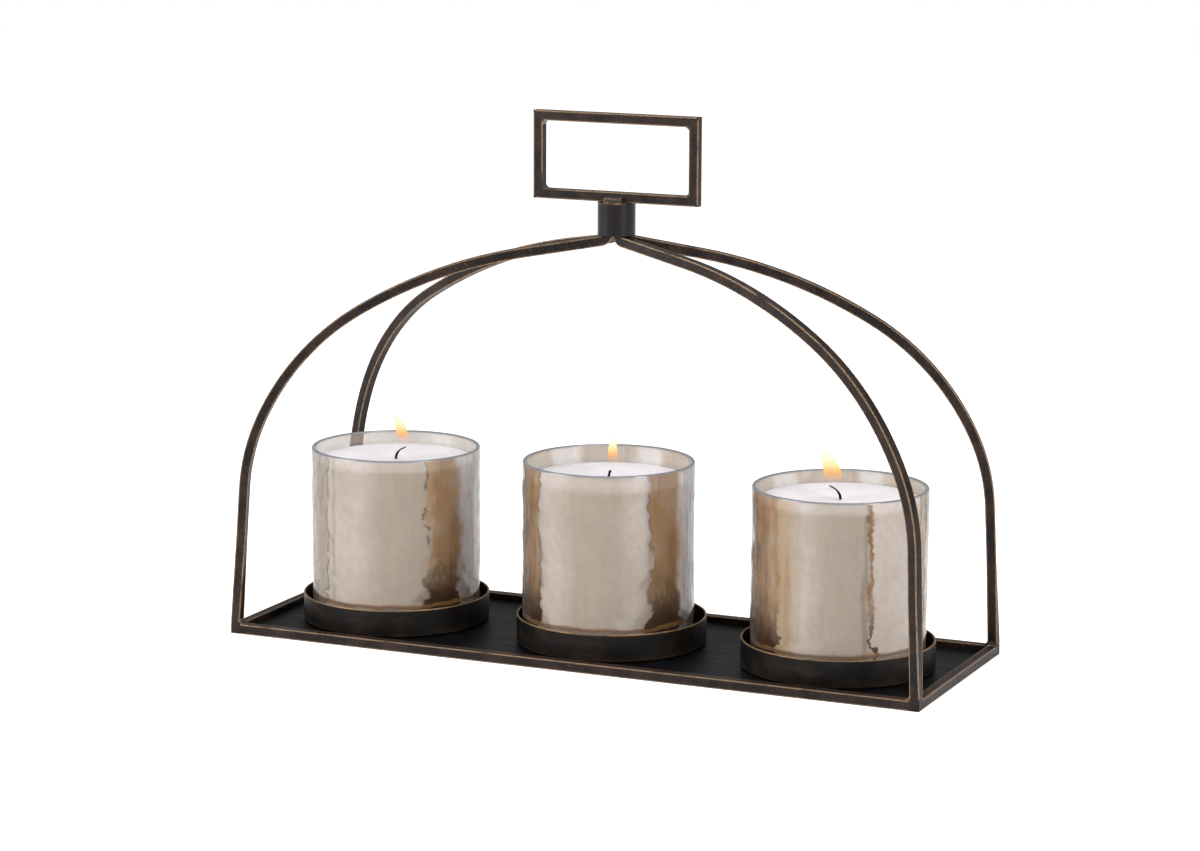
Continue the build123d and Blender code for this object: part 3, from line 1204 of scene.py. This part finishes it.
@dataclass
class Flame:
    """One flame, standing on its wick and drawn over by the air."""

    station: Station
    foot: tuple[float, float]
    height: float
    width: float
    sway: float
    fullness: float = 0.32
    thinnest: float = 0.12 * MM
    around: int = 28
    rows: int = 26

    def build(self) -> None:
        """Makes the flame above its candle."""
        candle_low, candle_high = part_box(f"{self.station.value}_candle")
        x, z = (candle_high[0] + candle_low[0]) / 2 + self.foot[0], candle_high[2] + self.foot[1]
        sections = []
        for row in range(self.rows + 1):
            share = row / self.rows
            swell = math.sin(math.pi * share ** (self.fullness * 2)) ** 1.1 if 0 < share < 1 else 0.0
            radius = max(self.thinnest, self.width / 2 * swell)
            sections.append((Vector((x + self.sway * share * share, 0, z + self.height * share)), radius))
        piece = grown(f"{self.station.value}_flame", sections, self.around)
        smooth(piece, 80)
        dress(piece, FlameGlow(self.station, z, z + self.height).build())
        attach(piece, f"{self.station.value}_candle")
        LOG.info("made %s", piece.name)


@dataclass
class Studio:
    """The camera of the photograph, soft lamps, a pale floor and a white surround."""

    yaw: float = 23.876
    pitch: float = 10.593
    roll: float = 0.253
    distance: float = 2.3134
    target: tuple[float, float, float] = (-0.00874, 0.0, 0.1416)
    focal_pixels: float = 3638.36
    picture_width: int = 1200
    sensor: float = 36.0
    lamp_aim: float = 0.12
    floor_size: float = 8.0
    floor_drop: float = 0.02 * MM
    world_light: float = 0.72
    world_gloss: float = 0.36
    floor_glow: float = 0.45

    def set_camera(self) -> None:
        """Puts the camera where the photograph was taken from."""
        yaw, pitch, roll = (math.radians(a) for a in (self.yaw, self.pitch, self.roll))
        back = Vector((math.sin(yaw) * math.cos(pitch), -math.cos(yaw) * math.cos(pitch), math.sin(pitch)))
        right = Vector((math.cos(yaw), math.sin(yaw), 0))
        up = back.cross(right)
        leaned_right = right * math.cos(roll) + up * math.sin(roll)
        leaned_up = up * math.cos(roll) - right * math.sin(roll)
        turn = Matrix((leaned_right, leaned_up, back)).transposed().to_4x4()
        bpy.ops.object.camera_add()
        camera = bpy.context.object
        camera.matrix_world = Matrix.Translation(Vector(self.target) + back * self.distance) @ turn
        camera.data.sensor_fit = "HORIZONTAL"
        camera.data.sensor_width = self.sensor
        camera.data.lens = self.focal_pixels * self.sensor / self.picture_width
        camera.data.clip_end = 20
        bpy.context.scene.camera = camera

    def add_lamp(
        self, name: str, at: tuple[float, float, float], size: tuple[float, float], power: float
    ) -> None:
        """Adds a softbox that faces the object.

        Args:
            name: The lamp's name.
            at: Its place, in metres.
            size: Its width and height, in metres.
            power: Its power, in watts.
        """
        bpy.ops.object.light_add(type="AREA", location=at)
        lamp = bpy.context.object
        lamp.name = name
        lamp.data.shape = "RECTANGLE"
        lamp.data.size, lamp.data.size_y = size
        lamp.data.energy = power
        aim = Vector((0, 0, self.lamp_aim)) - Vector(at)
        lamp.rotation_euler = aim.to_track_quat("-Z", "Y").to_euler()

    def set_surround(self) -> None:
        """Makes the world white to the camera and in reflections, and softer as a light."""
        world = bpy.data.worlds.new("surround")
        bpy.context.scene.world = world
        world.use_nodes = True
        tree = world.node_tree
        tree.nodes.clear()
        path = place(tree, "LightPath").outputs
        seen = (path["Is Camera Ray"], path["Is Transmission Ray"])
        seen = place(tree, "Math", seen, operation="MAXIMUM")
        lit = (path["Is Glossy Ray"], 0.0, 1.0, self.world_light, self.world_gloss)
        lit = place(tree, "MapRange", lit, **SMOOTH)
        strength = place(tree, "Math", (seen, lit), operation="MAXIMUM")
        white = place(tree, "Background", {"Color": (1, 1, 1, 1), "Strength": strength})
        place(tree, "OutputWorld", {"Surface": white})

    def lay_floor(self) -> None:
        """Lays a pale floor that keeps a soft shadow."""
        deselect()
        bpy.ops.mesh.primitive_plane_add(size=self.floor_size, location=(0, 0, -self.floor_drop))
        floor = bpy.context.object
        floor.name = "floor"
        material, tree, shader = blank_material("pale_floor")
        seen = (place(tree, "LightPath").outputs["Is Camera Ray"], 0.0, 1.0, 0.0, self.floor_glow)
        feed(tree, shader, {
            "Base Color": linear("#f4f4f4"),
            "Roughness": 0.9,
            "Specular IOR Level": 0.1,
            "Emission Color": (1, 1, 1, 1),
            "Emission Strength": place(tree, "MapRange", seen, **SMOOTH),
        })
        dress(floor, material)

    def build(self) -> None:
        """Sets the whole studio up."""
        self.set_camera()
        self.set_surround()
        self.lay_floor()
        self.add_lamp("left_softbox", (-1.5, -1.3, 1.0), (1.0, 1.4), 30.0)
        self.add_lamp("right_softbox", (1.7, -0.7, 0.9), (0.7, 1.4), 20.0)
        self.add_lamp("top_softbox", (0.1, 0.3, 1.9), (1.6, 1.0), 16.0)


# The bands round each glass, in degrees: painted reflections of the lamps and the dark surround over the
# lustre's uneven tint.
LEFT_LUSTRE_REFLECTION_BANDS = (
    Band(-165.0, Tone.LAVENDER), Band(-150.0, Tone.PEARL), Band(-117.0, Tone.LIGHT, Border.JAGGED),
    Band(-80.0, Tone.PEARL), Band(-42.0, Tone.AMBER, Border.JAGGED),
    Band(-16.0, Tone.LAVENDER, Border.MILD), Band(20.0, Tone.PEARL), Band(74.0, Tone.LIGHT),
    Band(95.0, Tone.PEARL), Band(120.0, Tone.LIGHT),
)
MIDDLE_LUSTRE_REFLECTION_BANDS = (
    Band(-165.0, Tone.BROWN), Band(-152.0, Tone.AMBER), Band(-119.0, Tone.LIGHT, Border.JAGGED),
    Band(-97.0, Tone.PEARL), Band(-55.0, Tone.LIGHT), Band(-37.5, Tone.AMBER, Border.JAGGED),
    Band(-10.5, Tone.LAVENDER, Border.MILD), Band(30.0, Tone.HONEY),
    Band(75.0, Tone.LIGHT, Border.MILD), Band(92.0, Tone.HONEY, Border.MILD),
    Band(132.0, Tone.LIGHT, Border.MILD), Band(154.0, Tone.HONEY, Border.MILD),
)
RIGHT_LUSTRE_REFLECTION_BANDS = (
    Band(-165.0, Tone.BROWN), Band(-148.0, Tone.AMBER), Band(-112.0, Tone.HONEY, Border.FINE),
    Band(-98.0, Tone.LIGHT), Band(-85.0, Tone.PEARL), Band(-50.9, Tone.BROWN, Border.FINE),
    Band(-48.6, Tone.LIGHT, Border.FINE), Band(-8.0, Tone.HONEY, Border.JAGGED),
    Band(8.0, Tone.LAVENDER), Band(35.0, Tone.HONEY), Band(80.0, Tone.LIGHT, Border.MILD),
    Band(95.0, Tone.HONEY, Border.MILD), Band(140.0, Tone.LIGHT, Border.MILD),
    Band(160.0, Tone.HONEY, Border.MILD),
)


def main() -> None:
    """Builds the scene: the studio, the frame's finishes, then each station on the tray."""
    logging.basicConfig(level=logging.INFO, format="%(message)s")
    bpy.context.scene.view_settings.view_transform = "Standard"
    Studio().build()
    IronFrame().dress()
    wax = PillarWax().build()
    bands = {Station.LEFT: LEFT_LUSTRE_REFLECTION_BANDS, Station.MIDDLE: MIDDLE_LUSTRE_REFLECTION_BANDS, Station.RIGHT: RIGHT_LUSTRE_REFLECTION_BANDS}
    wicks = {
        Station.LEFT: Wick(Station.LEFT, 62.0, burnt=11.5 * MM),
        Station.MIDDLE: Wick(Station.MIDDLE, 20.0, burnt=5 * MM),
        Station.RIGHT: Wick(Station.RIGHT, -64.0, burnt=11.5 * MM),
    }
    flames = {
        Station.LEFT: Flame(Station.LEFT, (6.0 * MM, 6.0 * MM), 29 * MM, 7.4 * MM, -10.5 * MM),
        Station.MIDDLE: Flame(Station.MIDDLE, (2.6 * MM, 6.0 * MM), 25 * MM, 6.4 * MM, 0.3 * MM),
        Station.RIGHT: Flame(Station.RIGHT, (-4.0 * MM, 5.5 * MM), 30 * MM, 11.0 * MM, -11.5 * MM),
    }
    for station in Station:
        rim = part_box(f"{station.value}_pan")[1][2]
        redress(f"{station.value}_pan", BronzedPan(rim, name=f"bronzed_pan_{station.value}").build())
        Tumbler(station, bands[station]).build()
        Pillar(station).build(wax)
        wicks[station].build()
        flames[station].build()


if __name__ == "__main__":
    main()
